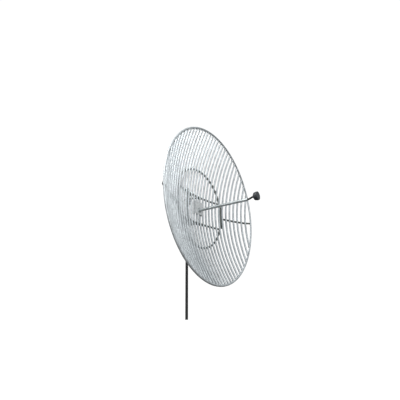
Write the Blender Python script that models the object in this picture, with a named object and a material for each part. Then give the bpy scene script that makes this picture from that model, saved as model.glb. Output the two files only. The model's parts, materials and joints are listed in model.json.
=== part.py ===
"""A round grid antenna: a parabolic reflector of parallel tubes, a feed on a boom, and a tilting mount on a mast.

Metres, +Z up. The origin is the centre of the mast's foot, and the reflector faces -Y.
"""

import math

import bmesh
import bpy
from mathutils import Matrix, Vector

# Reflector
DISH_DIAMETER = 2.4
FOCAL_RATIO = 0.425
GRID_COUNT = 29
GRID_PITCH = 0.0774
GRID_TUBE_RADIUS = 0.016
GRID_STEP = 0.13
RIM_TUBE_RADIUS = 0.016
RIM_SEGMENTS = 72
RING_RADIUS = 0.612
RING_TUBE_RADIUS = 0.016
RING_SEGMENTS = 64
CHORD_HEIGHT = 0.211
CHORD_TUBE_RADIUS = 0.015
RIB_TUBE_RADIUS = 0.016
RIB_DROP = 0.025
SIDE_BAR_WIDTH = 0.02
SIDE_BAR_DEPTH = 0.032
SIDE_BAR_HEIGHT = 0.38

# Mast
MAST_RADIUS = 0.02
MAST_WALL = 0.003
MAST_LENGTH = 2.0
MAST_FLOOR = 0.006
CAP_PLUG = 0.02
CAP_HEIGHT = 0.01
CAP_LIP = 0.001
CAP_EDGE = 0.006
AXIS_HEIGHT = 1.62
VERTEX_STANDOFF = 0.188

# Hub, its connector and the boom
HUB_WIDTH = 0.206
HUB_SHEET = 0.005
HUB_STANDOFF = 0.048
HUB_WALL_INSET = 0.001
HUB_BACK = 0.038
HUB_TONGUE = 0.026
CONNECTOR_FLANGE = (0.003, 0.013)
CONNECTOR_BODY = (0.022, 0.010)
CONNECTOR_NOSE = (0.027, 0.007)
BOOM_RADIUS = 0.022
BOOM_DROP = 0.036
BOOM_END = 1.065
BOOM_BEVEL = 0.004
FLANGE_RADIUS = 0.042
FLANGE_THICKNESS = 0.008

# Neck and feed head
NECK_RADIUS = 0.0135
NECK_STRAIGHT = 0.012
NECK_BEND_SHARE = 0.6
NECK_BEND_STEPS = 10
NECK_INSERT = 0.011
FEED_RADIUS = 0.062
FEED_BACK = 1.147
FEED_FRONT = 1.230
FEED_DROP = 0.016
FEED_WALL = 0.004
COLLAR_RADIUS = 0.018
COLLAR_LENGTH = 0.014
SOCKET_DEPTH = 0.012
FLARE_LENGTH = 0.036
FLARE_STEPS = 6
FLARE_POWER = 1.6
SHOULDER = 0.003
COVER_RECESS = 0.005
COVER_EDGE = 0.0035
COVER_RISE = 0.008

# Mount
BRACKET_HEIGHT = 0.213
PIVOT_FORWARD = 0.048
BOLT_RADIUS = 0.006
BOLT_HEAD_RADIUS = 0.0095
BOLT_HEAD = 0.008
PIVOT_BOLT_TAIL = 0.082
LOCK_BOLT_TAIL = 0.07
SADDLE_HALF_WIDTH = 0.05
SADDLE_FRONT = 0.034
SADDLE_BACK = 0.010
SADDLE_REACH = 0.101
LUG_THICKNESS = 0.008
LUG_RADIUS = 0.016
LUG_ROOT = 0.004
STRAP_THICKNESS = 0.006
UPPER_STRAP_WIDTH = 0.025
LOWER_STRAP_WIDTH = 0.044
UPPER_STRAP_SPREAD = 0.105
LOWER_STRAP_SPREAD = 0.18
STRAP_FOOT = 0.05
STRAP_NOSE = 0.03
STRAP_TAIL = 0.018
TILT_DOWN = math.radians(5)
TILT_UP = math.radians(10)
SLOT_STEPS = 12
U_BOLT_RADIUS = 0.005
U_BOLT_BEND = 0.0258
U_BOLT_LEG = 0.052
U_BOLT_HEIGHTS = (0.138, 0.182)
STAY_RADIUS = 0.010
STAY_DROP = 0.15
STAY_TAB = 0.008
STAY_TONGUE = 0.026
STAY_EYE_RADIUS = 0.013
STAY_FOOT = (0.020, 0.014)

# Clearances
GAP = 0.0003
TUBE_GAP = 0.0005
HOLE_CLEARANCE = 0.0004
CUTTER_REACH = 0.02

# Worked out from the dimensions above
FOCAL_LENGTH = FOCAL_RATIO * DISH_DIAMETER
RIM_RADIUS = DISH_DIAMETER / 2 - RIM_TUBE_RADIUS
LEVER = 2 * BRACKET_HEIGHT

# Finishes: colour, metallic, roughness
GALVANISED = ((0.62, 0.64, 0.63), 0.85, 0.45)
DARK_STEEL = ((0.33, 0.35, 0.34), 0.75, 0.5)
ALUMINIUM = ((0.72, 0.73, 0.73), 0.9, 0.4)
CHARCOAL = ((0.07, 0.075, 0.07), 0.2, 0.55)
BLACK_PLASTIC = ((0.03, 0.03, 0.032), 0.0, 0.5)
BRASS = ((0.75, 0.6, 0.32), 1.0, 0.35)


def clear_scene():
    for obj in list(bpy.data.objects):
        bpy.data.objects.remove(obj, do_unlink=True)


def finish(obj, look, parent):
    """Gives an object its own material and keeps its place under its parent."""
    colour, metallic, roughness = look
    material = bpy.data.materials.new(obj.name + "_finish")
    material.use_nodes = True
    shader = material.node_tree.nodes["Principled BSDF"]
    shader.inputs["Base Color"].default_value = (*colour, 1)
    shader.inputs["Metallic"].default_value = metallic
    shader.inputs["Roughness"].default_value = roughness
    obj.data.materials.append(material)
    obj.parent = parent
    obj.matrix_parent_inverse = parent.matrix_world.inverted()
    return obj


def link(name, data):
    obj = bpy.data.objects.new(name, data)
    bpy.context.scene.collection.objects.link(obj)
    return obj


def axis_empty(name, place, parent=None):
    empty = link(name, None)
    empty.location = place
    if parent:
        empty.parent = parent
        empty.matrix_parent_inverse = parent.matrix_world.inverted()
    bpy.context.view_layer.update()
    return empty


def mesh_object(name, bm, place):
    """Makes an object of a finished bmesh, with its faces turned out and its round sides smooth."""
    bmesh.ops.recalc_face_normals(bm, faces=bm.faces)
    mesh = bpy.data.meshes.new(name)
    bm.to_mesh(mesh)
    bm.free()
    mesh.shade_smooth()
    mesh.set_sharp_from_angle(angle=math.radians(40))
    obj = link(name, mesh)
    obj.location = place
    return obj


def helper(obj):
    """Marks an object that only shapes another one."""
    obj.hide_render = True
    obj.display_type = "WIRE"
    return obj


def combine(obj, other, operation):
    modifier = obj.modifiers.new(operation.lower() + "_" + other.name, "BOOLEAN")
    modifier.operation = operation
    modifier.object = helper(other)


def tube(name, points, radius, resolution, closed=False):
    """A round bar along the points. Its sides number 4 and twice the resolution."""
    curve = bpy.data.curves.new(name, "CURVE")
    curve.dimensions = "3D"
    curve.bevel_depth = radius
    curve.bevel_resolution = resolution
    curve.use_fill_caps = True
    middle = points[0] if closed else points[len(points) // 2]
    spline = curve.splines.new("POLY")
    spline.points.add(len(points) - 1)
    spline.use_cyclic_u = closed
    for knot, point in zip(spline.points, points):
        knot.co = (*(point - middle), 1)
    obj = link(name, curve)
    obj.location = middle
    return obj


def lathe(name, profile, axis, place, sides):
    """Turns a profile of (distance along the axis, radius) pairs, which starts and ends on the axis."""
    bm = bmesh.new()
    turn = Vector((0, 0, 1)).rotation_difference(axis).to_matrix()
    outline = [bm.verts.new(turn @ Vector((radius, 0, along))) for along, radius in profile]
    edges = [bm.edges.new(pair) for pair in zip(outline, outline[1:])]
    bmesh.ops.spin(
        bm, geom=outline + edges, cent=(0, 0, 0), axis=axis, angle=2 * math.pi, steps=sides, use_merge=True
    )
    bmesh.ops.remove_doubles(bm, verts=bm.verts, dist=1e-6)
    return mesh_object(name, bm, place)


def prism(name, outline, thickness, place, across):
    """Extrudes a flat outline by the thickness, centred on its plane. across is "X" or "Z", the way it is extruded.

    The outline's pairs are (y, z) for "X" and (x, y) for "Z".
    """
    half = thickness / 2
    bm = bmesh.new()
    if across == "X":
        verts = [bm.verts.new((-half, a, b)) for a, b in outline]
        move = Vector((thickness, 0, 0))
    else:
        verts = [bm.verts.new((a, b, -half)) for a, b in outline]
        move = Vector((0, 0, thickness))
    face = bm.faces.new(verts)
    made = bmesh.ops.extrude_face_region(bm, geom=[face])
    moved = [item for item in made["geom"] if isinstance(item, bmesh.types.BMVert)]
    bmesh.ops.translate(bm, verts=moved, vec=move)
    return mesh_object(name, bm, place)


def block(name, low, high):
    """A box between two corners, with its origin at its middle."""
    low, high = Vector(low), Vector(high)
    size = high - low
    bm = bmesh.new()
    bmesh.ops.create_cube(bm, size=1, matrix=Matrix.Diagonal((*size, 1)))
    return mesh_object(name, bm, (low + high) / 2)


def rod(name, start, end, radius, sides):
    """A plain round bar between two points."""
    span = end - start
    return lathe(name, [(0, 0), (0, radius), (span.length, radius), (span.length, 0)], span.normalized(), start, sides)


def arc(centre, radius, first, last, steps):
    """Points along an arc, angles in degrees from the first pair's axis towards the second's."""
    points = []
    for step in range(steps + 1):
        angle = math.radians(first + (last - first) * step / steps)
        points.append((centre[0] + radius * math.cos(angle), centre[1] + radius * math.sin(angle)))
    return points


def on_reflector(x, height, behind=0.0):
    """A point on the paraboloid, or that far behind it along its normal."""
    normal = Vector((x / (2 * FOCAL_LENGTH), 1, height / (2 * FOCAL_LENGTH))).normalized()
    depth = (x * x + height * height) / (4 * FOCAL_LENGTH)
    return Vector((x, -VERTEX_STANDOFF - depth, AXIS_HEIGHT + height)) + behind * normal


def grid_half_height(x):
    """The height at which a grid tube's flat end stops just short of the rim."""
    rim_sag = RIM_RADIUS * (1 - math.cos(math.pi / RIM_SEGMENTS))
    lean = math.hypot(1, RIM_RADIUS / (2 * FOCAL_LENGTH))
    clearance = RIM_TUBE_RADIUS + GAP + GRID_TUBE_RADIUS * abs(x) / RIM_RADIUS
    end_radius = RIM_RADIUS - rim_sag - clearance / lean
    return math.sqrt(end_radius**2 - x * x)


def add_grid(parent):
    """The reflecting tubes, upright and parallel, each bent to the paraboloid in its own plane."""
    for number in range(GRID_COUNT):
        x = (number - (GRID_COUNT - 1) / 2) * GRID_PITCH
        half = grid_half_height(x)
        steps = max(2, math.ceil(2 * half / GRID_STEP))
        points = [on_reflector(x, half * (2 * step / steps - 1)) for step in range(steps + 1)]
        name = f"grid_tube_{number + 1:02d}"
        finish(tube(name, points, GRID_TUBE_RADIUS, 1), GALVANISED, parent)


def circle_on_reflector(radius, behind, segments):
    angles = [2 * math.pi * step / segments for step in range(segments)]
    return [on_reflector(radius * math.cos(a), radius * math.sin(a), behind) for a in angles]


def add_rim_and_ring(parent):
    rim = tube("rim", circle_on_reflector(RIM_RADIUS, 0, RIM_SEGMENTS), RIM_TUBE_RADIUS, 2, closed=True)
    finish(rim, DARK_STEEL, parent)
    behind = GRID_TUBE_RADIUS + RING_TUBE_RADIUS + TUBE_GAP
    ring = tube(
        "inner_ring", circle_on_reflector(RING_RADIUS, behind, RING_SEGMENTS), RING_TUBE_RADIUS, 1, closed=True
    )
    finish(ring, DARK_STEEL, parent)


def chord_half_length():
    """Half the length that stops a chord's flat ends just short of the inner ring."""
    reach = math.sqrt(RING_RADIUS**2 - CHORD_HEIGHT**2)
    across = RING_TUBE_RADIUS + TUBE_GAP + CHORD_TUBE_RADIUS * CHORD_HEIGHT / RING_RADIUS
    return reach - across * RING_RADIUS / reach


def add_chords(parent):
    """The two bars across the ring. Each bends only where it passes behind a grid tube."""
    behind = GRID_TUBE_RADIUS + CHORD_TUBE_RADIUS + TUBE_GAP
    half = chord_half_length()
    crossings = int(half / GRID_PITCH)
    places = [-half] + [k * GRID_PITCH for k in range(-crossings, crossings + 1)] + [half]
    for name, height in (("upper_chord", CHORD_HEIGHT), ("lower_chord", -CHORD_HEIGHT)):
        points = [on_reflector(x, height, behind) for x in places]
        finish(tube(name, points, CHORD_TUBE_RADIUS, 1), DARK_STEEL, parent)


def ring_centre():
    """The ring's own radius and its distance in front of the mast's axis."""
    point = on_reflector(RING_RADIUS, 0, GRID_TUBE_RADIUS + RING_TUBE_RADIUS + TUBE_GAP)
    return point.x, -point.y


def add_sides(parent):
    """The upright bars that stand against the ring's two sides, and the ribs from them out to the rim."""
    ring_radius, forward = ring_centre()
    inner = ring_radius + RING_TUBE_RADIUS + GAP
    outer = inner + SIDE_BAR_WIDTH
    behind = GRID_TUBE_RADIUS + RIB_TUBE_RADIUS + TUBE_GAP
    first = math.ceil((outer + GAP) / GRID_PITCH)
    last = GRID_COUNT // 2
    stretch = 1 + behind / (2 * FOCAL_LENGTH)
    start = (outer + RIB_TUBE_RADIUS * outer / (2 * FOCAL_LENGTH)) / stretch
    bend = last * GRID_PITCH + GRID_TUBE_RADIUS
    places = [start] + [k * GRID_PITCH for k in range(first, last + 1)] + [bend]
    rim_clearance = RIM_TUBE_RADIUS + GAP + RIB_TUBE_RADIUS * math.tan(math.pi / RIM_SEGMENTS)
    for side, name in ((-1, "left"), (1, "right")):
        near, far = sorted((side * inner, side * outer))
        low = (near, -forward - SIDE_BAR_DEPTH / 2, AXIS_HEIGHT - SIDE_BAR_HEIGHT / 2)
        high = (far, -forward + SIDE_BAR_DEPTH / 2, AXIS_HEIGHT + SIDE_BAR_HEIGHT / 2)
        finish(block(name + "_side_bar", low, high), DARK_STEEL, parent)
        points = [on_reflector(side * x, -RIB_DROP, behind) for x in places]
        rim_centre = on_reflector(side * math.sqrt(RIM_RADIUS**2 - RIB_DROP**2), -RIB_DROP)
        inward = (points[-1] - rim_centre).normalized()
        points.append(rim_centre + rim_clearance * inward)
        finish(tube(name + "_rib", points, RIB_TUBE_RADIUS, 1), DARK_STEEL, parent)


def add_hub(parent):
    """A folded bracket: a square front plate, and side walls that pass between grid tubes to the two chords."""
    half = HUB_WIDTH / 2
    front = -VERTEX_STANDOFF - HUB_STANDOFF
    back = -VERTEX_STANDOFF + HUB_BACK
    shoulder = back - HUB_TONGUE
    reach = BRACKET_HEIGHT - CHORD_TUBE_RADIUS - 2 * TUBE_GAP
    plate = block(
        "hub_bracket", (-half, front, AXIS_HEIGHT - half), (half, front + HUB_SHEET, AXIS_HEIGHT + half)
    )
    root = front + HUB_SHEET / 2
    edge = half - HUB_WALL_INSET
    wall = [(root, -edge), (shoulder, -edge), (shoulder, -reach), (back, -reach)]
    outline = wall + [(y, -z) for y, z in reversed(wall)]
    for side, name in ((-1, "left"), (1, "right")):
        place = (side * (edge - HUB_SHEET / 2), 0, AXIS_HEIGHT)
        combine(plate, prism("hub_wall_" + name, outline, HUB_SHEET, place, "X"), "UNION")
    finish(plate, ALUMINIUM, parent)
    profile = [(0, 0)]
    start = 0
    for end, radius in (CONNECTOR_FLANGE, CONNECTOR_BODY, CONNECTOR_NOSE):
        profile += [(start, radius), (end, radius)]
        start = end
    profile.append((start, 0))
    place = (GRID_PITCH / 2, front + HUB_SHEET + GAP, AXIS_HEIGHT - BOOM_DROP)
    finish(lathe("coax_connector", profile, Vector((0, 1, 0)), place, 12), BRASS, parent)


def add_boom(parent):
    """The boom stands on the hub's plate, and a thin neck cranks up from its end towards the reflector's axis."""
    start = -VERTEX_STANDOFF - HUB_STANDOFF - GAP
    length = BOOM_END + start
    profile = [(0, 0), (0, FLANGE_RADIUS), (FLANGE_THICKNESS, FLANGE_RADIUS), (FLANGE_THICKNESS, BOOM_RADIUS),
               (length - BOOM_BEVEL, BOOM_RADIUS), (length, BOOM_RADIUS - BOOM_BEVEL), (length, 0)]
    boom = lathe("feed_boom", profile, Vector((0, -1, 0)), (0, start, AXIS_HEIGHT - BOOM_DROP), 14)
    finish(boom, ALUMINIUM, parent)
    neck_start = BOOM_END + GAP
    neck_end = FEED_BACK + NECK_INSERT
    rise = BOOM_DROP - FEED_DROP
    points = [Vector((0, -neck_start, AXIS_HEIGHT - BOOM_DROP))]
    for step in range(NECK_BEND_STEPS + 1):
        share = step / NECK_BEND_STEPS
        y = neck_start + NECK_STRAIGHT + share * NECK_BEND_SHARE * (neck_end - neck_start)
        z = AXIS_HEIGHT - BOOM_DROP + rise * (1 - math.cos(math.pi * share)) / 2
        points.append(Vector((0, -y, z)))
    points.append(Vector((0, -neck_end, AXIS_HEIGHT - FEED_DROP)))
    finish(tube("feed_neck", points, NECK_RADIUS, 2), CHARCOAL, parent)


def add_feed(parent):
    """The feed head: a flared housing that turns on the neck's end, and a thin cover over its face."""
    depth = FEED_FRONT - FEED_BACK
    socket = NECK_RADIUS + GAP
    shell = FEED_RADIUS - FEED_WALL
    lip = shell - FEED_WALL
    profile = [(SOCKET_DEPTH, 0), (SOCKET_DEPTH, socket), (0, socket), (0, COLLAR_RADIUS)]
    for step in range(FLARE_STEPS + 1):
        angle = math.pi / 2 * step / FLARE_STEPS
        along = COLLAR_LENGTH + FLARE_LENGTH * (1 - math.cos(angle))
        profile.append((along, shell - (shell - COLLAR_RADIUS) * (1 - math.sin(angle)) ** FLARE_POWER))
    profile += [(COLLAR_LENGTH + FLARE_LENGTH + SHOULDER, FEED_RADIUS), (depth - FEED_WALL, FEED_RADIUS)]
    profile += [(depth, shell), (depth, lip), (depth - COVER_RECESS, lip), (depth - COVER_RECESS, 0)]
    place = (0, -FEED_BACK, AXIS_HEIGHT - FEED_DROP)
    finish(lathe("feed_housing", profile, Vector((0, -1, 0)), place, 24), BLACK_PLASTIC, parent)
    edge = lip - GAP
    face = [(0, 0), (0, edge), (COVER_EDGE, edge), (0.75 * COVER_RISE, 0.8 * edge), (COVER_RISE, 0)]
    place = (0, -FEED_FRONT + COVER_RECESS - GAP, AXIS_HEIGHT - FEED_DROP)
    finish(lathe("feed_cover", face, Vector((0, -1, 0)), place, 24), BLACK_PLASTIC, parent)


def add_mast(parent):
    """A tube with a welded floor, and a moulded cap in its open top."""
    bore = MAST_RADIUS - MAST_WALL
    profile = [(0, 0), (0, MAST_RADIUS), (MAST_LENGTH, MAST_RADIUS), (MAST_LENGTH, bore), (MAST_FLOOR, bore),
               (MAST_FLOOR, 0)]
    finish(lathe("mast", profile, Vector((0, 0, 1)), (0, 0, 0), 24), CHARCOAL, parent)
    plug = bore - GAP
    brim = MAST_RADIUS + CAP_LIP
    profile = [(-CAP_PLUG, 0), (-CAP_PLUG, plug), (GAP, plug), (GAP, brim), (CAP_HEIGHT / 2, brim),
               (0.9 * CAP_HEIGHT, MAST_RADIUS - CAP_EDGE), (CAP_HEIGHT, 0)]
    cap = lathe("mast_cap", profile, Vector((0, 0, 1)), (0, 0, MAST_LENGTH), 24)
    finish(cap, BLACK_PLASTIC, parent)


def add_saddle(name, up, parent):
    """A cast block grooved for the mast, with two lugs for the cross bolt. up is 1 above the axis and -1 below."""
    groove = arc((0, 0), MAST_RADIUS + GAP, -31, -149, 12)
    outline = [(-SADDLE_HALF_WIDTH, -SADDLE_BACK), (-SADDLE_HALF_WIDTH, -SADDLE_FRONT)]
    outline += [(SADDLE_HALF_WIDTH, -SADDLE_FRONT), (SADDLE_HALF_WIDTH, -SADDLE_BACK)]
    outline += groove
    height = SADDLE_REACH + LUG_RADIUS
    middle = up * (BRACKET_HEIGHT + LUG_RADIUS - height / 2)
    saddle = prism(name, outline, height, (0, 0, AXIS_HEIGHT + middle), "Z")
    bolt_height = AXIS_HEIGHT + up * BRACKET_HEIGHT
    root = PIVOT_FORWARD - SADDLE_FRONT + LUG_ROOT
    lug = [(root, -LUG_RADIUS)] + arc((0, 0), LUG_RADIUS, 270, 90, 8) + [(root, LUG_RADIUS)]
    for side, word in ((-1, "left"), (1, "right")):
        place = (side * (SADDLE_HALF_WIDTH - LUG_THICKNESS / 2), -PIVOT_FORWARD, bolt_height)
        combine(saddle, prism(f"{name}_lug_{word}", lug, LUG_THICKNESS, place, "X"), "UNION")
    reach = Vector((2 * SADDLE_HALF_WIDTH, 0, 0))
    centre = Vector((0, -PIVOT_FORWARD, bolt_height))
    hole = BOLT_RADIUS + HOLE_CLEARANCE
    combine(saddle, rod(name + "_bolt_hole", centre - reach, centre + reach, hole, 16), "DIFFERENCE")
    for number, level in enumerate(U_BOLT_HEIGHTS):
        for side, word in ((-1, "left"), (1, "right")):
            start = Vector((side * U_BOLT_BEND, -2 * SADDLE_FRONT, AXIS_HEIGHT + up * level))
            cutter = rod(
                f"{name}_hole_{word}_{number}", start, start + Vector((0, 3 * SADDLE_FRONT, 0)),
                U_BOLT_RADIUS + HOLE_CLEARANCE, 12,
            )
            combine(saddle, cutter, "DIFFERENCE")
        bend = arc((0, 0), U_BOLT_BEND, 0, 180, 10)
        path = [(U_BOLT_BEND, -U_BOLT_LEG)] + bend + [(-U_BOLT_BEND, -U_BOLT_LEG)]
        points = [Vector((x, y, AXIS_HEIGHT + up * level)) for x, y in path]
        bolt = tube(f"{name.split('_')[0]}_u_bolt_{number + 1}", points, U_BOLT_RADIUS, 2)
        finish(bolt, GALVANISED, parent)
    finish(saddle, DARK_STEEL, parent)


def add_cross_bolts(parent):
    """The pivot bolt and the locking bolt, each through both lugs and both straps."""
    seat = SADDLE_HALF_WIDTH + TUBE_GAP + STRAP_THICKNESS + TUBE_GAP
    for name, up, tail in (("pivot_bolt", 1, PIVOT_BOLT_TAIL), ("lock_bolt", -1, LOCK_BOLT_TAIL)):
        end = BOLT_HEAD + seat + tail
        profile = [(0, 0), (0, BOLT_HEAD_RADIUS), (BOLT_HEAD, BOLT_HEAD_RADIUS), (BOLT_HEAD, BOLT_RADIUS),
                   (end, BOLT_RADIUS), (end, 0)]
        place = (seat + BOLT_HEAD, -PIVOT_FORWARD, AXIS_HEIGHT + up * BRACKET_HEIGHT)
        finish(lathe(name, profile, Vector((-1, 0, 0)), place, 12), GALVANISED, parent)


def strap_outline(path, thickness):
    """The outline in plan of a flat bar that is bent along the path."""
    half = thickness / 2
    left, right = [], []
    for index, point in enumerate(path):
        before = (point - path[index - 1]).normalized() if index else None
        after = (path[index + 1] - point).normalized() if index + 1 < len(path) else None
        along = ((before or after) + (after or before)).normalized()
        square = Vector((-along.y, along.x))
        reach = half / abs(along.dot(after or before))
        left.append(point + reach * square)
        right.append(point - reach * square)
    return [tuple(point) for point in left + right[::-1]]


def strap_path(spread, nose, tail):
    """The plan of a right-hand strap: along the lug, out to the chord, and flat against the chord's back."""
    face = SADDLE_HALF_WIDTH + TUBE_GAP + STRAP_THICKNESS / 2
    off = GRID_TUBE_RADIUS + 2 * CHORD_TUBE_RADIUS + TUBE_GAP + GAP + STRAP_THICKNESS / 2
    places = []
    for x in (spread, spread + STRAP_FOOT):
        base = on_reflector(x, CHORD_HEIGHT)
        places.append(Vector((x, base.y + off)))
    return [Vector((face, tail)), Vector((face, nose))] + places


def mirrored(outline, side):
    return [(side * x, y) for x, y in outline]


def add_straps(parent):
    """Flat bars from the chords to the cross bolts. The lower pair is slotted along the tilt's arc."""
    slot_half = BOLT_RADIUS + HOLE_CLEARANCE
    nose = -PIVOT_FORWARD - STRAP_NOSE
    tail = -PIVOT_FORWARD + UPPER_STRAP_WIDTH / 2
    upper = strap_outline(strap_path(UPPER_STRAP_SPREAD, nose, tail), STRAP_THICKNESS)
    nose -= LEVER * math.sin(TILT_DOWN)
    tail = LEVER * math.sin(TILT_UP) + STRAP_TAIL - PIVOT_FORWARD
    lower = strap_outline(strap_path(LOWER_STRAP_SPREAD, nose, tail), STRAP_THICKNESS)
    sweep = [-TILT_DOWN + (TILT_UP + TILT_DOWN) * step / SLOT_STEPS for step in range(SLOT_STEPS + 1)]
    outer = [((LEVER + slot_half) * math.sin(a), -(LEVER + slot_half) * math.cos(a)) for a in sweep]
    inner = [((LEVER - slot_half) * math.sin(a), -(LEVER - slot_half) * math.cos(a)) for a in reversed(sweep)]
    for side, word in ((-1, "left"), (1, "right")):
        place = (0, 0, AXIS_HEIGHT + BRACKET_HEIGHT)
        strap = prism(word + "_upper_strap", mirrored(upper, side), UPPER_STRAP_WIDTH, place, "Z")
        pivot = Vector((side * SADDLE_HALF_WIDTH, -PIVOT_FORWARD, AXIS_HEIGHT + BRACKET_HEIGHT))
        reach = Vector((CUTTER_REACH, 0, 0))
        hole = rod(word + "_pivot_hole", pivot - reach, pivot + reach, slot_half, 16)
        combine(strap, hole, "DIFFERENCE")
        finish(strap, ALUMINIUM, parent)
        place = (0, 0, AXIS_HEIGHT - BRACKET_HEIGHT)
        strap = prism(word + "_lower_strap", mirrored(lower, side), LOWER_STRAP_WIDTH, place, "Z")
        slot = prism(word + "_slot", outer + inner, 2 * CUTTER_REACH, pivot, "X")
        combine(strap, slot, "DIFFERENCE")
        for end, angle in (("front", -TILT_DOWN), ("back", TILT_UP)):
            centre = pivot + Vector((0, LEVER * math.sin(angle), -LEVER * math.cos(angle)))
            cap = rod(f"{word}_slot_{end}", centre - reach, centre + reach, slot_half, 16)
            combine(strap, cap, "DIFFERENCE")
        finish(strap, ALUMINIUM, parent)


def add_stay(parent):
    """A round stay from the pivot bolt's left end to the ring's left side, flattened where it is bolted."""
    ring_radius, forward = ring_centre()
    back = -forward + RING_TUBE_RADIUS + GAP
    eye_x = -(SADDLE_HALF_WIDTH + TUBE_GAP + STRAP_THICKNESS + TUBE_GAP + STAY_TAB / 2)
    pivot = Vector((eye_x, -PIVOT_FORWARD, AXIS_HEIGHT + BRACKET_HEIGHT))
    foot = Vector((-math.sqrt(ring_radius**2 - STAY_DROP**2), back, AXIS_HEIGHT - STAY_DROP))
    end = foot + Vector((0, STAY_RADIUS + GAP, 0))
    lean = math.atan2(end.z - pivot.z, end.y - pivot.y)
    tip = (STAY_TONGUE * math.cos(lean), STAY_TONGUE * math.sin(lean))
    lean = math.degrees(lean)
    outline = arc((0, 0), STAY_EYE_RADIUS, lean + 90, lean + 270, 10)
    outline += arc(tip, STAY_EYE_RADIUS, lean - 90, lean + 90, 10)
    stay = prism("side_stay", outline, STAY_TAB, pivot, "X")
    start = pivot + Vector((0, *tip))
    combine(stay, rod("stay_rod", start, end, STAY_RADIUS, 12), "UNION")
    half = Vector((STAY_FOOT[0], 0, STAY_FOOT[1]))
    combine(stay, block("stay_foot", foot - half, foot + half + Vector((0, STAY_TAB, 0))), "UNION")
    reach = Vector((CUTTER_REACH, 0, 0))
    hole = rod("stay_hole", pivot - reach, pivot + reach, BOLT_RADIUS + HOLE_CLEARANCE, 16)
    combine(stay, hole, "DIFFERENCE")
    finish(stay, DARK_STEEL, parent)


def main():
    clear_scene()
    foot = axis_empty("mast_foot_centre", (0, 0, 0))
    azimuth = axis_empty("azimuth_axis", (0, 0, AXIS_HEIGHT), foot)
    elevation = axis_empty("elevation_axis", (0, -PIVOT_FORWARD, AXIS_HEIGHT + BRACKET_HEIGHT), azimuth)
    polarisation = axis_empty("polarisation_axis", (0, -FEED_BACK, AXIS_HEIGHT - FEED_DROP), elevation)
    add_mast(foot)
    add_saddle("upper_saddle", 1, azimuth)
    add_saddle("lower_saddle", -1, azimuth)
    add_cross_bolts(azimuth)
    add_grid(elevation)
    add_rim_and_ring(elevation)
    add_chords(elevation)
    add_sides(elevation)
    add_hub(elevation)
    add_boom(elevation)
    add_straps(elevation)
    add_stay(elevation)
    add_feed(polarisation)


main()
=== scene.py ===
"""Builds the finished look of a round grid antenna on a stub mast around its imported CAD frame."""

import json
import math

import bpy
from bpy.props import FloatProperty, FloatVectorProperty, IntProperty, PointerProperty
from mathutils import Matrix, Vector


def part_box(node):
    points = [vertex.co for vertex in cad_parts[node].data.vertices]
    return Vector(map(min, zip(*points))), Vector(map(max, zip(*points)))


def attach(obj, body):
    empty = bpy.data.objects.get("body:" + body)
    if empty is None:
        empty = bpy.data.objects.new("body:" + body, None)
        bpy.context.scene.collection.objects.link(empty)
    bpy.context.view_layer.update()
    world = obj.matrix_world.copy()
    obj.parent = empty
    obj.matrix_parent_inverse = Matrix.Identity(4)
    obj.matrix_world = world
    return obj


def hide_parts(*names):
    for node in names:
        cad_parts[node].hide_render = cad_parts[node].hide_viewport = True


bl_info = {
    "name": "Grid Antenna",
    "version": (1, 0, 0),
    "blender": (4, 5, 0),
    "location": "View3D > Sidebar > Grid Antenna",
    "description": "Models the tubes, fittings and finishes of a round grid antenna on a mast",
    "category": "Object",
}

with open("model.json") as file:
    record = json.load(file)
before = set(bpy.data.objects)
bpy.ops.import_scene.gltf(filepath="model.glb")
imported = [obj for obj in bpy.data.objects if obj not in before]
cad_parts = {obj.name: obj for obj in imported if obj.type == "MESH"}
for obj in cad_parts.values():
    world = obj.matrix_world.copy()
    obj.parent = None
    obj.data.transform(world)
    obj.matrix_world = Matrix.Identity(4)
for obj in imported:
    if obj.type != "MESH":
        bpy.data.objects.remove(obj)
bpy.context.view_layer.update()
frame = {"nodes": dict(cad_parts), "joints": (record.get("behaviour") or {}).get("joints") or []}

GRID_NAMES = sorted(name for name in frame["nodes"] if name.startswith("grid_tube_"))
JOINTS = {joint["name"]: joint for joint in frame["joints"]}
X_AXIS, Y_AXIS, Z_AXIS = Vector((1, 0, 0)), Vector((0, 1, 0)), Vector((0, 0, 1))
FORWARD = -Y_AXIS


def middle(node):
    low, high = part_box(node)
    return (low + high) / 2


def extent(node):
    low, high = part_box(node)
    return high - low


AXIS_HEIGHT = JOINTS["azimuth"]["pos_m"][2]
PIVOT = Vector(JOINTS["elevation"]["pos_m"])
RIM_TUBE = extent("rim").y / 2
RIM_RADIUS = extent("rim").x / 2 - RIM_TUBE
RIM_Y = middle("rim").y
RING_TUBE = extent("inner_ring").y / 2
RING_RADIUS = extent("inner_ring").x / 2 - RING_TUBE
RING_Y = middle("inner_ring").y
GRID_TUBE = extent(GRID_NAMES[0]).x / 2
HEXAGON_FLATS = math.cos(math.pi / 6)
CHORD_TUBE = extent("upper_chord").z / 2 / HEXAGON_FLATS
RIB_TUBE = extent("left_rib").z / 2 / HEXAGON_FLATS
RIB_HEIGHT = middle("left_rib").z - AXIS_HEIGHT
LAST_GRID_X = middle(GRID_NAMES[-1]).x
# Thicknesses and sizes of the fittings, in metres, that a CAD node's box doesn't give
STRAP_THICKNESS = 0.006
STAY_TAB = 0.008
STAY_FOOT = Vector((0.020, 0, 0.014))
STAY_BAR = 0.010
FLANGE_STEP = 0.020
FLANGE_THICKNESS = 0.008
FLANGE_BOLT_CIRCLE = 0.0325
SADDLE_DEPTH = 0.030
RIB_BITE = 0.004
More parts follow.
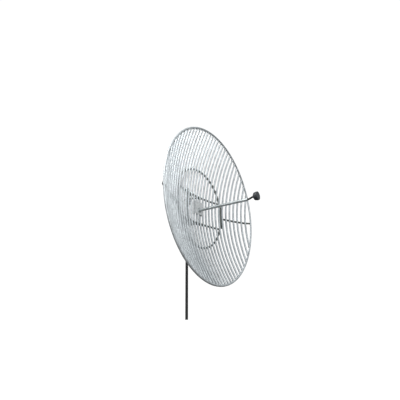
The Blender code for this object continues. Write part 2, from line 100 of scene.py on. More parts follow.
# Across the flats, and washers by radius and thickness
U_NUT, U_WASHER = 0.0165, (0.0102, 0.0016)
U_STUD, U_STUD_LENGTH = 0.00512, 0.0178
CROSS_NUT, CROSS_WASHER = 0.0185, (0.0115, 0.0018)
CROSS_THREAD = 0.022
SHANK_SHARE = 6 / 9.5
FRAME_BOLT, FRAME_BOLT_HEAD, FRAME_WASHER = 0.013, 0.0055, (0.0085, 0.0014)
# The frame bolts are one size, and these scale it for the smaller ones
FLANGE_BOLT_SCALE, STAY_BOLT_SCALE = 0.72, 0.8
# Points nearer than this are one, and gaps this wide keep two faces apart
DOUBLES, GAP = 0.00001, 0.0002


def to_linear(colour):
    """The linear values of an sRGB hex colour."""
    channels = [int(colour[place : place + 2], 16) / 255 for place in (0, 2, 4)]
    return [c / 12.92 if c <= 0.04045 else ((c + 0.055) / 1.055) ** 2.4 for c in channels]


# --- Settings -----------------------------------------------------------------------------------


def length_setting(name, description, value):
    return FloatProperty(name=name, description=description, default=value, unit="LENGTH")


class GridAntennaSizes(bpy.types.PropertyGroup):
    focal_length: length_setting(
        "Focal Length", "Distance from the reflector's vertex to its focus", 1.02
    )
    bar_sides: IntProperty(
        name="Bar Sides", description="Sides round each grid tube, in steps of two", default=12, min=6
    )
    hoop_steps: IntProperty(
        name="Hoop Steps", description="Steps round the rim. The ring has three quarters of them", default=160
    )
    weld_width: length_setting("Weld Width", "Width of the bead round each welded tube end", 0.005)
    thread_pitch: length_setting(
        "Thread Pitch", "Distance between the ridges on the threaded ends. A real one is finer", 0.002
    )
    nut_height: length_setting("Nut Height", "Height of each hexagon nut and bolt head", 0.008)
    edge_round: length_setting(
        "Edge Round", "Radius that breaks the edges of cast and cut pieces", 0.0012
    )


def colour_setting(name, description, value):
    return FloatVectorProperty(name=name, description=description, default=to_linear(value), subtype="COLOR")


class GridAntennaColours(bpy.types.PropertyGroup):
    grid: colour_setting("Grid", "Drawn tube of the grid", "dce2e5")
    # A darker grey than the grid tubes, given to the ring, chords, ribs and side bars
    hoops: colour_setting("Hoops", "Darker grey tube of the ring, chords, ribs and side bars", "7c817e")
    sheet: colour_setting("Sheet", "Rolled sheet of the hub", "eef1f2")
    boom: colour_setting("Boom", "Anodised boom", "cdd3d4")
    mast: colour_setting("Mast", "Powder coat of the mast", "191b1a")
    feed: colour_setting("Feed", "Moulded feed head", "2f3236")
    zinc: colour_setting("Zinc", "Zinc on the bolts and nuts", "a9adaa")
    dull_zinc: colour_setting("Dull Zinc", "Weathered zinc on the straps and the stay", "4b4f4d")
    iron: colour_setting("Iron", "Cast saddles", "4a4e4c")


# --- Finishes -----------------------------------------------------------------------------------


def add_node(tree, kind, values=None, links=None, stops=(), **settings):
    """Adds one node. Values and links go by input, stops are a ramp's, and settings are the node's own."""
    node = tree.nodes.new(kind)
    for name, value in settings.items():
        setattr(node, name, value)
    for socket, value in (values or {}).items():
        node.inputs[socket].default_value = value
    for socket, source in (links or {}).items():
        tree.links.new(source, node.inputs[socket])
    for index, (position, colour) in enumerate(stops):
        elements = node.color_ramp.elements
        stop = elements[index] if index < len(elements) else elements.new(position)
        stop.position, stop.color = position, colour
    return node


def per_metre(millimetres):
    """A texture scale whose features are that size."""
    return 1000 / millimetres


def new_finish(name):
    """A new material, its tree, its shader and the socket that gives a point's place on the piece."""
    material = bpy.data.materials.new(name)
    material.use_nodes = True
    tree = material.node_tree
    spot = add_node(tree, "ShaderNodeTexCoord").outputs["Object"]
    return material, tree, tree.nodes["Principled BSDF"], spot


def finish_with(tree, shader, tone, gloss=None, relief=None):
    """Links a shader's colour, and makes its roughness and its relief.

    Gloss is a source with its least and most roughness. Relief is a source with its strength and its depth.
    """
    tree.links.new(tone, shader.inputs["Base Color"])
    if gloss:
        source, least, most = gloss
        spread = add_node(tree, "ShaderNodeMapRange", {"To Min": least, "To Max": most}, {"Value": source})
        tree.links.new(spread.outputs["Result"], shader.inputs["Roughness"])
    if relief:
        source, strength, depth = relief
        values = {"Strength": strength, "Distance": depth}
        bump = add_node(tree, "ShaderNodeBump", values, {"Height": source})
        tree.links.new(bump.outputs["Normal"], shader.inputs["Normal"])


def shade(colour, amount):
    return [min(1.0, channel * amount) for channel in colour] + [1.0]


def drawn_aluminium(name, colour, along, dull, grain_mm):
    """Drawn aluminium tube left bare outdoors.

    It gives a satin glint that runs along each tube, with the oxide's paler and darker patches over it and
    fine lines from the drawing die. The real lines are a third as wide.
    """
    material, tree, shader, spot = new_finish(name)
    stretch = [1.0 if axis == along else 14.0 for axis in "XYZ"]
    lines_at = add_node(tree, "ShaderNodeMapping", {"Scale": stretch}, {"Vector": spot})
    lines = add_node(
        tree, "ShaderNodeTexNoise", {"Scale": per_metre(grain_mm * 14), "Detail": 3.0, "Roughness": 0.6},
        {"Vector": lines_at.outputs["Vector"]},
    )
    patches = add_node(
        tree, "ShaderNodeTexNoise", {"Scale": per_metre(70), "Detail": 4.0, "Roughness": 0.65},
        {"Vector": spot},
    )
    tone = add_node(
        tree, "ShaderNodeValToRGB", links={"Fac": patches.outputs["Fac"]},
        stops=((0.32, shade(colour, 0.78)), (0.68, shade(colour, 1.1))),
    )
    streak = add_node(
        tree, "ShaderNodeMix", {"Factor": 0.25}, {6: tone.outputs["Color"], 7: lines.outputs["Fac"]},
        data_type="RGBA", blend_type="OVERLAY",
    )
    finish_with(
        tree, shader, streak.outputs[2],
        (patches.outputs["Fac"], dull - 0.08, dull + 0.12), (lines.outputs["Fac"], 0.25, 0.0002),
    )
    shader.inputs["Metallic"].default_value = 0.6
    return material


def rolled_sheet(name, colour):
    """Rolled aluminium sheet, folded and left bare. It is paler than the tube, with a soft grain and some rubs."""
    material, tree, shader, spot = new_finish(name)
    grain_at = add_node(tree, "ShaderNodeMapping", {"Scale": (10.0, 10.0, 0.8)}, {"Vector": spot})
    grain = add_node(
        tree, "ShaderNodeTexNoise", {"Scale": per_metre(12), "Detail": 4.0, "Roughness": 0.7},
        {"Vector": grain_at.outputs["Vector"]},
    )
    rubs = add_node(
        tree, "ShaderNodeTexNoise", {"Scale": per_metre(35), "Detail": 5.0, "Roughness": 0.7},
        {"Vector": spot},
    )
    tone = add_node(
        tree, "ShaderNodeValToRGB", links={"Fac": rubs.outputs["Fac"]},
        stops=((0.35, shade(colour, 0.82)), (0.62, shade(colour, 1.05))),
    )
    finish_with(
        tree, shader, tone.outputs["Color"],
        (grain.outputs["Fac"], 0.3, 0.52), (grain.outputs["Fac"], 0.2, 0.0003),
    )
    shader.inputs["Metallic"].default_value = 0.35
    return material


def powder_coat(name, colour):
    """Polyester powder coat on steel. It is a deep matt grey with a fine orange peel and a few paler scuffs."""
    material, tree, shader, spot = new_finish(name)
    peel = add_node(tree, "ShaderNodeTexNoise", {"Scale": per_metre(2.5), "Detail": 2.0}, {"Vector": spot})
    wear = add_node(
        tree, "ShaderNodeTexNoise", {"Scale": per_metre(45), "Detail": 7.0, "Roughness": 0.75},
        {"Vector": spot},
    )
    tone = add_node(
        tree, "ShaderNodeValToRGB", links={"Fac": wear.outputs["Fac"]},
        stops=((0.3, shade(colour, 0.8)), (0.6, shade(colour, 1.12)), (0.74, shade(colour, 2.1))),
    )
    finish_with(
        tree, shader, tone.outputs["Color"],
        (wear.outputs["Fac"], 0.55, 0.75), (peel.outputs["Fac"], 0.3, 0.0003),
    )
    shader.inputs["IOR"].default_value = 1.5
    return material


def moulded_plastic(name, colour, texture_mm):
    """Moulded ABS with a spark-eroded texture. It reads as a near-black skin with a soft broken sheen."""
    material, tree, shader, spot = new_finish(name)
    spark = add_node(
        tree, "ShaderNodeTexVoronoi", {"Scale": per_metre(texture_mm)}, {"Vector": spot}, feature="SMOOTH_F1"
    )
    chalk = add_node(
        tree, "ShaderNodeTexNoise", {"Scale": per_metre(28), "Detail": 5.0, "Roughness": 0.7},
        {"Vector": spot},
    )
    tone = add_node(
        tree, "ShaderNodeValToRGB", links={"Fac": chalk.outputs["Fac"]},
        stops=((0.35, shade(colour, 0.85)), (0.75, shade(colour, 1.6))),
    )
    finish_with(
        tree, shader, tone.outputs["Color"],
        (chalk.outputs["Fac"], 0.4, 0.6), (spark.outputs["Distance"], 0.35, 0.0002),
    )
    shader.inputs["IOR"].default_value = 1.54
    return material


def galvanised_steel(name, colour, spangle_mm):
    """Hot-dip galvanised steel. Its crystals are flat grey flakes, each at its own brightness and gloss."""
    material, tree, shader, spot = new_finish(name)
    spangle = add_node(
        tree, "ShaderNodeTexVoronoi", {"Scale": per_metre(spangle_mm), "Randomness": 1.0}, {"Vector": spot}
    )
    flake = add_node(tree, "ShaderNodeSeparateColor", links={"Color": spangle.outputs["Color"]})
    tone = add_node(
        tree, "ShaderNodeValToRGB", links={"Fac": flake.outputs["Red"]},
        stops=((0.0, shade(colour, 0.72)), (1.0, shade(colour, 1.12))),
    )
    grit = add_node(tree, "ShaderNodeTexNoise", {"Scale": per_metre(3), "Detail": 3.0}, {"Vector": spot})
    finish_with(
        tree, shader, tone.outputs["Color"],
        (flake.outputs["Green"], 0.32, 0.55), (grit.outputs["Fac"], 0.2, 0.0002),
    )
    shader.inputs["Metallic"].default_value = 0.85
    return material


def cast_iron(name, colour):
    """Sand-cast iron under a thin zinc dip. The sand's grain stays in it as a rough, dull dark grey."""
    material, tree, shader, spot = new_finish(name)
    sand = add_node(
        tree, "ShaderNodeTexNoise", {"Scale": per_metre(1.8), "Detail": 5.0, "Roughness": 0.75},
        {"Vector": spot},
    )
    stain = add_node(
        tree, "ShaderNodeTexNoise", {"Scale": per_metre(22), "Detail": 4.0, "Roughness": 0.7},
        {"Vector": spot},
    )
    tone = add_node(
        tree, "ShaderNodeValToRGB", links={"Fac": stain.outputs["Fac"]},
        stops=((0.3, shade(colour, 0.7)), (0.7, shade(colour, 1.25))),
    )
    finish_with(
        tree, shader, tone.outputs["Color"],
        (sand.outputs["Fac"], 0.5, 0.75), (sand.outputs["Fac"], 0.45, 0.0005),
    )
    shader.inputs["Metallic"].default_value = 0.6
    return material


def nickel_plate(name):
    """Nickel-plated brass. It is a warm bright metal, a little yellower where fingers have worn the plating."""
    material, tree, shader, spot = new_finish(name)
    rub = add_node(tree, "ShaderNodeTexNoise", {"Scale": per_metre(6), "Detail": 4.0}, {"Vector": spot})
    tone = add_node(
        tree, "ShaderNodeValToRGB", links={"Fac": rub.outputs["Fac"]},
        stops=((0.4, to_linear("cfcabd") + [1.0]), (0.75, to_linear("c2a767") + [1.0])),
    )
    finish_with(tree, shader, tone.outputs["Color"], (rub.outputs["Fac"], 0.18, 0.38))
    shader.inputs["Metallic"].default_value = 1.0
    return material


def weld_metal(name, colour):
    """Weld bead on aluminium. It is rippled, and greyer than the tube beside it."""
    material, tree, shader, spot = new_finish(name)
    ripple = add_node(tree, "ShaderNodeTexNoise", {"Scale": per_metre(2.5), "Detail": 2.0}, {"Vector": spot})
    tone = add_node(
        tree, "ShaderNodeValToRGB", links={"Fac": ripple.outputs["Fac"]},
        stops=((0.0, shade(colour, 0.6)), (1.0, shade(colour, 1.1))),
    )
    finish_with(tree, shader, tone.outputs["Color"], relief=(ripple.outputs["Fac"], 0.5, 0.0006))
    shader.inputs["Metallic"].default_value = 0.8
    shader.inputs["Roughness"].default_value = 0.5
    return material


def finish_named(name, make, *settings):
    """The finish of that name, made the first time that it is asked for."""
    return bpy.data.materials.get(name) or make(name, *settings)


# --- Making and placing -------------------------------------------------------------------------


def deselect():
    if bpy.context.object and bpy.context.object.mode != "OBJECT":
        bpy.ops.object.mode_set(mode="OBJECT")
    bpy.ops.object.select_all(action="DESELECT")


def choose(*objects):
    deselect()
    for obj in objects:
        obj.select_set(True)
    bpy.context.view_layer.objects.active = objects[0]


def place(obj, matrix):
    """Puts a piece in place in its mesh, and leaves its object at the origin."""
    choose(obj)
    obj.matrix_world = matrix @ obj.matrix_world
    bpy.ops.object.transform_apply(location=True, rotation=True, scale=True)


def facing(point, axis):
    """The matrix that takes +Z at the origin to that axis at that point."""
    return Matrix.Translation(point) @ Z_AXIS.rotation_difference(axis).to_matrix().to_4x4()


def copy_of(obj):
    copy = obj.copy()
    copy.data = obj.data.copy()
    bpy.context.scene.collection.objects.link(copy)
    return copy


def stamped(part, matrix):
    """A copy of a part, put in place."""
    copy = copy_of(part)
    place(copy, matrix)
    return copy


def joined(objects):
    choose(*objects)
    bpy.ops.object.join()
    return bpy.context.object


def smooth(obj, degrees=35):
    choose(obj)
    bpy.ops.object.shade_smooth_by_angle(angle=math.radians(degrees))


def apply_bevel(obj, width, segments, degrees=30):
    choose(obj)
    modifier = obj.modifiers.new("Edges", "BEVEL")
    modifier.width = width
    modifier.segments = segments
    modifier.limit_method = "ANGLE"
    modifier.angle_limit = math.radians(degrees)
    bpy.ops.object.modifier_apply(modifier=modifier.name)


def hand_over(obj, name, body, slot, finish, *nodes):
    """Names a finished piece, gives it its finish and body, smooths it, and hides the CAD nodes that it stands
    for. The slot is not used.
    """
    obj.name = obj.data.name = name
    obj.data.materials.clear()
    obj.data.materials.append(finish)
    smooth(obj)
    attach(obj, body)
    if nodes:
        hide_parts(*nodes)
    return obj


def dress(node, finish, edge=0.0):
    """Gives a CAD node its finish and, where it has cut edges, breaks them."""
    obj = frame["nodes"][node]
    obj.data.materials.clear()
    obj.data.materials.append(finish)
    if not edge:
        return obj
    weld = obj.modifiers.new("Weld", "WELD")
    weld.merge_threshold = 0.00005
    bevel = obj.modifiers.new("Edges", "BEVEL")
    bevel.width = edge
    bevel.segments = 2
    bevel.limit_method = "ANGLE"
    bevel.angle_limit = math.radians(40)
    bevel.harden_normals = False
    return obj


def in_edit(obj, pick="ALL"):
    """Opens a piece for editing with its faces picked: all, none, or those that a test of each face accepts."""
    choose(obj)
    bpy.ops.object.mode_set(mode="EDIT")
    bpy.ops.mesh.select_mode(type="FACE")
    bpy.ops.mesh.select_all(action="SELECT" if pick == "ALL" else "DESELECT")
    if callable(pick):
        bpy.ops.object.mode_set(mode="OBJECT")
        for face in obj.data.polygons:
            face.select = bool(pick(face))
        bpy.ops.object.mode_set(mode="EDIT")


def leave_edit():
    bpy.ops.object.mode_set(mode="OBJECT")


def applied():
    """The piece just added, with its size and place put into its mesh."""
    bpy.ops.object.transform_apply(location=True, rotation=True, scale=True)
    return bpy.context.object


def closed_up(obj):
    """Merges a piece's doubled points and turns its faces outward."""
    in_edit(obj)
    bpy.ops.mesh.remove_doubles(threshold=DOUBLES)
    bpy.ops.mesh.normals_make_consistent(inside=False)
    leave_edit()
    return obj


def turned(profile, sides):
    """A turned piece along +Z. The profile is (height, radius) pairs, drawn out ring by ring from a disc."""
    height, radius = profile[0]
    deselect()
    bpy.ops.mesh.primitive_circle_add(
        vertices=sides, radius=radius, fill_type="NGON", location=(0, 0, height)
    )
    obj = applied()
    bpy.ops.object.mode_set(mode="EDIT")
    bpy.ops.mesh.select_all(action="SELECT")
    for next_height, next_radius in profile[1:]:
        bpy.ops.mesh.extrude_region_move(TRANSFORM_OT_translate={"value": (0, 0, next_height - height)})
        ratio = next_radius / radius
        bpy.ops.transform.resize(value=(ratio, ratio, 1), center_override=(0, 0, next_height))
        height, radius = next_height, next_radius
    bpy.ops.mesh.select_all(action="SELECT")
    bpy.ops.mesh.normals_make_consistent(inside=False)
    leave_edit()
    return obj


def curved_bar(start, leaving, arriving, end, radius, sides, steps):
    """A round bar along a curve from start to end. Leaving and arriving are the reaches of its end tangents."""
    deselect()
    bpy.ops.curve.primitive_bezier_curve_add()
    bar = bpy.context.object
    for knot, point, ahead in zip(bar.data.splines[0].bezier_points, (start, end), (leaving, arriving)):
        knot.handle_left_type = knot.handle_right_type = "FREE"
        knot.co, knot.handle_left, knot.handle_right = point, point - ahead, point + ahead
    bar.data.resolution_u = steps
    bar.data.bevel_depth = radius
    bar.data.bevel_resolution = sides // 2 - 2
    bar.data.use_fill_caps = True
    choose(bar)
    bpy.ops.object.convert(target="MESH")
    return closed_up(bar)


def bent_bar(start, end, bend, radius, sides, steps):
    """A round bar along the parabola from start to end, whose end tangents meet at the bend point."""
    return curved_bar(start, (bend - start) * 2 / 3, (end - bend) * 2 / 3, end, radius, sides, steps)


def cut_off(bar, point, outward):
    """Cuts a bar square at a point and closes the cut. What lies outward of it goes."""
    in_edit(bar)
    bpy.ops.mesh.bisect(plane_co=point, plane_no=outward, use_fill=True, clear_outer=True)
    leave_edit()


def hoop(radius, tube_radius, y, sides, steps):
    """A hoop of round tube that faces forward: one section circle, spun round the reflector's axis."""
    deselect()
    bpy.ops.mesh.primitive_circle_add(vertices=sides, radius=tube_radius, location=(radius, y, AXIS_HEIGHT))
    obj = applied()
    bpy.ops.object.mode_set(mode="EDIT")
    bpy.ops.mesh.select_all(action="SELECT")
    bpy.ops.mesh.spin(steps=steps, angle=2 * math.pi, center=(0, y, AXIS_HEIGHT), axis=(0, 1, 0))
    return closed_up(obj)


def hexagon(across, height):
    """A hexagon nut or head on +Z from the origin: a six-sided prism with its top corners chamfered off."""
    deselect()
    bpy.ops.mesh.primitive_cylinder_add(
        vertices=6, radius=across / math.sqrt(3), depth=height, location=(0, 0, height / 2)
    )
    obj = applied()
    in_edit(obj, lambda face: face.normal.z > 0.9)
    bpy.ops.mesh.inset(thickness=across * 0.07)
    bpy.ops.transform.translate(value=(0, 0, across * 0.035))
    leave_edit()
    apply_bevel(obj, across * 0.02, 1, 50)
    return obj


def washer(radius, thickness):
    """A plain washer on +Z from the origin, with its edge rounded over."""
    profile = [(0, radius * 0.96), (thickness * 0.2, radius)]
    profile += [(thickness * 0.8, radius), (thickness, radius * 0.96)]
    return turned(profile, 24)


def threaded_end(radius, length, pitch):
    """A threaded end on +Z from the origin, drawn as ridges a pitch apart, with its tip chamfered."""
    profile = [(0, radius)]
    for turn in range(int(length / pitch) - 1):
        base = turn * pitch
        profile += [(base + pitch * 0.35, radius * 1.0), (base + pitch * 0.6, radius * 0.87)]
        profile += [(base + pitch * 0.75, radius * 0.87), (base + pitch, radius)]
    profile += [(length, radius * 0.8)]
    return turned(profile, 16)


def surface_point(x, height, focal_length, behind=0.0):
    """A point on the reflector's surface, or that far behind it."""
    normal = Vector((x / (2 * focal_length), 1, height / (2 * focal_length))).normalized()
    rim_depth = RIM_RADIUS**2 / (4 * focal_length)
    depth = (x * x + height * height) / (4 * focal_length)
    return Vector((x, RIM_Y + rim_depth - depth, AXIS_HEIGHT + height)) + behind * normal


# --- Operators ----------------------------------------------------------------------------------


class Step:
    """What the operators share."""

    bl_options = {"REGISTER", "UNDO"}


class GridTubes(Step, bpy.types.Operator):
    """Draw one parabolic tube, copy it across the reflector and cut each copy off inside the rim"""

    bl_idname = "grid_antenna.grid_tubes"
    bl_label = "Grid Tubes"

    def execute(self, context):
        sizes = context.scene.grid_antenna_sizes
        focal = sizes.focal_length
        finish = finish_named(
            "Drawn aluminium tube", drawn_aluminium, context.scene.grid_antenna_colours.grid, "Z", 0.42, 1.2
        )
        low, high = (surface_point(0, side * RIM_RADIUS, focal) for side in (-1, 1))
        vertex = surface_point(0, 0, focal)
        bend = Vector((0, 2 * vertex.y - low.y, AXIS_HEIGHT))
        master = bent_bar(low, high, bend, GRID_TUBE, sizes.bar_sides, 28)
        for name in GRID_NAMES:
            x = middle(name).x
            half = math.sqrt(RIM_RADIUS**2 - x * x)
            bar = stamped(master, Matrix.Translation((x, surface_point(x, 0, focal).y - vertex.y, 0)))
            for side in (-1, 1):
                if half < RIM_RADIUS * 0.999:
                    end = surface_point(x, side * half, focal)
                    cut_off(bar, end, Vector((0, 0, side)))
            hand_over(bar, "bar_" + name[-2:], "reflector", "grid_metal", finish, name)
        bpy.data.objects.remove(master)
        return {"FINISHED"}


class Hoops(Step, bpy.types.Operator):
    """Spin the rim and the inner ring"""

    bl_idname = "grid_antenna.hoops"
    bl_label = "Rim and Ring"

    def execute(self, context):
        sizes = context.scene.grid_antenna_sizes
        colours = context.scene.grid_antenna_colours
        bright = finish_named("Rolled aluminium hoop", drawn_aluminium, colours.grid, "X", 0.42, 2.0)
        # The ring gets a darker grey than the grid tubes and the rim
        finish = finish_named("Weathered aluminium tube", drawn_aluminium, colours.hoops, "X", 0.5, 2.0)
        rim = hoop(RIM_RADIUS, RIM_TUBE - 0.0006, RIM_Y, 20, sizes.hoop_steps)
        hand_over(rim, "rim_hoop", "reflector", "frame_metal", bright, "rim")
        ring = hoop(RING_RADIUS, RING_TUBE, RING_Y, 16, sizes.hoop_steps * 3 // 4)
        hand_over(ring, "ring_hoop", "reflector", "frame_metal", finish, "inner_ring")
        return {"FINISHED"}


class Stringers(Step, bpy.types.Operator):
    """Draw the two chords across the ring and the two ribs out to the rim, and box the ring's sides"""

    bl_idname = "grid_antenna.stringers"
    bl_label = "Chords, Ribs and Side Bars"

    def bar(self, first, last, height, radius, focal):
        """A round bar that runs across the backs of the grid tubes."""
        start, end = (surface_point(x, height, focal, GRID_TUBE + radius) for x in (first, last))
        slopes = [-x / (2 * focal) for x in (first, last)]
        across = (end.y - start.y + slopes[0] * start.x - slopes[1] * end.x) / (slopes[0] - slopes[1])
        bend = Vector((across, start.y + slopes[0] * (across - start.x), (start.z + end.z) / 2))
        return bent_bar(start, end, bend, radius, 16, 20)

    def reach_rim(self, rib, side, focal):
        """Cranks the rib's last stretch forward, past the last grid tube and into the rim."""
        last = surface_point(side * (LAST_GRID_X + GRID_TUBE), RIB_HEIGHT, focal, GRID_TUBE + RIB_TUBE)
        rim = surface_point(side * math.sqrt(RIM_RADIUS**2 - RIB_HEIGHT**2), RIB_HEIGHT, focal)
        near = [(vertex.co - last).length < RIB_TUBE * 1.1 for vertex in rib.data.vertices]
        in_edit(rib, lambda face: all(near[index] for index in face.vertices))
        bpy.ops.mesh.extrude_region_move(TRANSFORM_OT_translate={"value": rim - last})
        bpy.ops.transform.resize(value=(0.9, 0.9, 0.9), center_override=rim)
        leave_edit()

    def execute(self, context):
        focal = context.scene.grid_antenna_sizes.focal_length
        # The chords, ribs and side bars get the same darker grey as the ring
        finish = finish_named(
            "Weathered aluminium tube", drawn_aluminium,
            context.scene.grid_antenna_colours.hoops, "X", 0.5, 2.0,
        )
        for word in ("upper", "lower"):
            node = word + "_chord"
            height = middle(node).z - AXIS_HEIGHT
            reach = math.sqrt(RING_RADIUS**2 - height**2)
            chord = self.bar(-reach, reach, height, CHORD_TUBE, focal)
            hand_over(chord, word + "_chord_tube", "reflector", "frame_metal", finish, node)
        for side, word in ((-1, "left"), (1, "right")):
            inner = extent(word + "_side_bar").x / 2 + abs(middle(word + "_side_bar").x) - RIB_BITE
            rib = self.bar(side * inner, side * (LAST_GRID_X + GRID_TUBE), RIB_HEIGHT, RIB_TUBE, focal)
            self.reach_rim(rib, side, focal)
            hand_over(rib, word + "_rib_tube", "reflector", "frame_metal", finish, word + "_rib")
            self.side_bar(word, finish)
        return {"FINISHED"}

    def side_bar(self, word, finish):
        """A length of box section with rounded corners and a plug in each end."""
        node = word + "_side_bar"
        size, centre = extent(node), middle(node)
        deselect()
        bpy.ops.mesh.primitive_cube_add(size=1, location=centre, scale=size)
        bar = applied()
        in_edit(bar, lambda face: abs(face.normal.z) > 0.9)
        bpy.ops.mesh.inset(thickness=0.0022, use_individual=True)
        bpy.ops.transform.resize(value=(1, 1, 1 - 0.003 / size.z), center_override=centre)
        leave_edit()
        apply_bevel(bar, 0.0018, 3, 60)
        hand_over(bar, word + "_box_bar", "reflector", "frame_metal", finish, node)


class Welds(Step, bpy.types.Operator):
    """Lay a bead round each tube end at the rim, and tack each crossing behind the grid"""

    bl_idname = "grid_antenna.welds"
    bl_label = "Welds"

    def bead(self, width):
        """One uneven bead, a flattened doughnut that fits round a grid tube."""
        deselect()
        bpy.ops.mesh.primitive_torus_add(
            major_segments=12, minor_segments=5,
            major_radius=GRID_TUBE + width * 0.12, minor_radius=width / 2,
        )
        made = bpy.context.object
        in_edit(made)
        bpy.ops.transform.resize(value=(1, 1, 0.75), center_override=(0, 0, 0))
        bpy.ops.transform.vertex_random(offset=width * 0.08, seed=3)
        leave_edit()
        return made

    def tack(self, width):
        """One spot of weld, wide and low, where two tubes cross."""
        deselect()
        bpy.ops.mesh.primitive_ico_sphere_add(subdivisions=2, radius=width * 1.9)
        made = bpy.context.object
        in_edit(made)
        bpy.ops.transform.resize(value=(1, 1, 0.42), center_override=(0, 0, 0))
        bpy.ops.transform.vertex_random(offset=width * 0.12, seed=5)
        leave_edit()
        return made

    def execute(self, context):
        sizes = context.scene.grid_antenna_sizes
        focal = sizes.focal_length
        finish = finish_named("Aluminium weld", weld_metal, context.scene.grid_antenna_colours.hoops)
        places = [middle(name).x for name in GRID_NAMES]
        bead, tack = self.bead(sizes.weld_width), self.tack(sizes.weld_width)
        beads, tacks = [], []
        for x in places:
            half = math.sqrt(RIM_RADIUS**2 - x * x)
            if half < RIM_RADIUS * 0.4:
                continue
            for side in (-1, 1):
                inward = Vector((x, 0, side * half)).normalized()
                along = Vector((0, -half / (2 * focal), side)).normalized()
                lean = along.dot(inward)
                back = (RIM_TUBE - 0.0008) / lean
                height = half - back * along.z * side
                point = surface_point(x, side * height, focal)
                stretch = Matrix.Scale(1 / max(lean, 0.45), 4, (1, 0, 0))
                across = Vector((inward.z, 0, -inward.x))
                turn = Matrix((across, inward.cross(across), inward)).transposed().to_4x4()
                beads.append(stamped(bead, Matrix.Translation(point) @ turn @ stretch))
        crossings = []
        for x in places:
            if abs(x) < RING_RADIUS * 0.97:
                reach = math.sqrt((RING_RADIUS * 0.99) ** 2 - x * x)
                crossings += [(x, reach), (x, -reach)]
            if abs(x) < extent("upper_chord").x / 2:
                crossings += [(x, middle(node).z - AXIS_HEIGHT) for node in ("upper_chord", "lower_chord")]
            if abs(x) > extent("inner_ring").x / 2 + 0.02:
                crossings.append((x, RIB_HEIGHT))
        for x, height in crossings:
            point = surface_point(x, height, focal, GRID_TUBE)
            tacks.append(stamped(tack, facing(point, point - surface_point(x, height, focal))))
        bpy.data.objects.remove(bead)
        bpy.data.objects.remove(tack)
        hand_over(joined(beads), "rim_beads", "reflector", "frame_metal", finish)
        hand_over(joined(tacks), "crossing_tacks", "reflector", "frame_metal", finish)
        return {"FINISHED"}


class Hub(Step, bpy.types.Operator):
    """Break the folded bracket's edges, and turn the coaxial socket behind its plate"""

    bl_idname = "grid_antenna.hub"
    bl_label = "Hub Bracket and Socket"

    def execute(self, context):
        sizes = context.scene.grid_antenna_sizes
        colours = context.scene.grid_antenna_colours
        dress(
            "hub_bracket", finish_named("Rolled aluminium sheet", rolled_sheet, colours.sheet),
            sizes.edge_round,
        )
        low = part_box("coax_connector")[0]
        flange, body, nose = 0.013, 0.010, 0.007
        profile = [(0, flange - 0.0003), (0.0003, flange), (0.0026, flange), (0.003, flange - 0.0004)]
        profile.append((0.003, body))
        for turn in range(8):
            base = 0.004 + 0.002 * turn
            profile += [(base, body), (base + 0.0008, body - 0.0009), (base + 0.0012, body - 0.0009)]
        profile += [(0.0205, body), (0.0215, body - 0.0008), (0.0215, nose), (0.0265, nose)]
        profile += [(0.027, nose - 0.0004), (0.027, nose - 0.002), (0.021, nose - 0.0022)]
        profile += [(0.021, 0.0012), (0.0255, 0.0011), (0.026, 0.0006)]
        socket = turned(profile, 32)
        centre = middle("coax_connector")
        place(socket, facing(Vector((centre.x, low.y, centre.z)), Y_AXIS))
        plate = finish_named("Nickel plate", nickel_plate)
        hand_over(socket, "coax_socket", "reflector", "connector", plate, "coax_connector")
        return {"FINISHED"}


class Boom(Step, bpy.types.Operator):
    """Turn the boom with its flange and end plug"""

    bl_idname = "grid_antenna.boom"
    bl_label = "Boom"

    def execute(self, context):
        colours = context.scene.grid_antenna_colours
        low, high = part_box("feed_boom")
        length, flange = high.y - low.y, (high.x - low.x) / 2
        radius = flange - FLANGE_STEP
        drop = middle("feed_boom").z
        profile = [(0, flange - 0.001), (0.001, flange), (FLANGE_THICKNESS - 0.001, flange)]
        profile += [(FLANGE_THICKNESS, flange - 0.001), (FLANGE_THICKNESS, radius + 0.004)]
        profile += [(0.0095, radius + 0.0015), (0.0125, radius)]
        profile += [(length * 0.5, radius), (length - 0.03, radius), (length - 0.0295, radius - 0.0008)]
        profile += [(length - 0.029, radius), (length - 0.004, radius), (length - 0.0012, radius - 0.002)]
        profile += [(length, radius - 0.005)]
        boom = turned(profile, 40)
        place(boom, facing(Vector((0, high.y, drop)), FORWARD))
        finish = finish_named("Anodised aluminium boom", drawn_aluminium, colours.boom, "Y", 0.38, 1.0)
        hand_over(boom, "boom_tube", "reflector", "boom_metal", finish, "feed_boom")
        return {"FINISHED"}


class Neck(Step, bpy.types.Operator):
    """Draw the cranked neck between the boom and the feed"""

    bl_idname = "grid_antenna.neck"
    bl_label = "Neck"

    def execute(self, context):
        colours = context.scene.grid_antenna_colours
        low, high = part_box("feed_neck")
        radius = (high.x - low.x) / 2
        start, end = Vector((0, high.y, low.z + radius)), Vector((0, low.y, high.z - radius))
        reach = (high.y - low.y) * 0.42
        neck = curved_bar(start, reach * FORWARD, reach * FORWARD, end, radius, 20, 24)
        finish = finish_named("Powder-coated steel", powder_coat, colours.mast)
        hand_over(neck, "neck_tube", "reflector", "neck_metal", finish, "feed_neck")
        return {"FINISHED"}


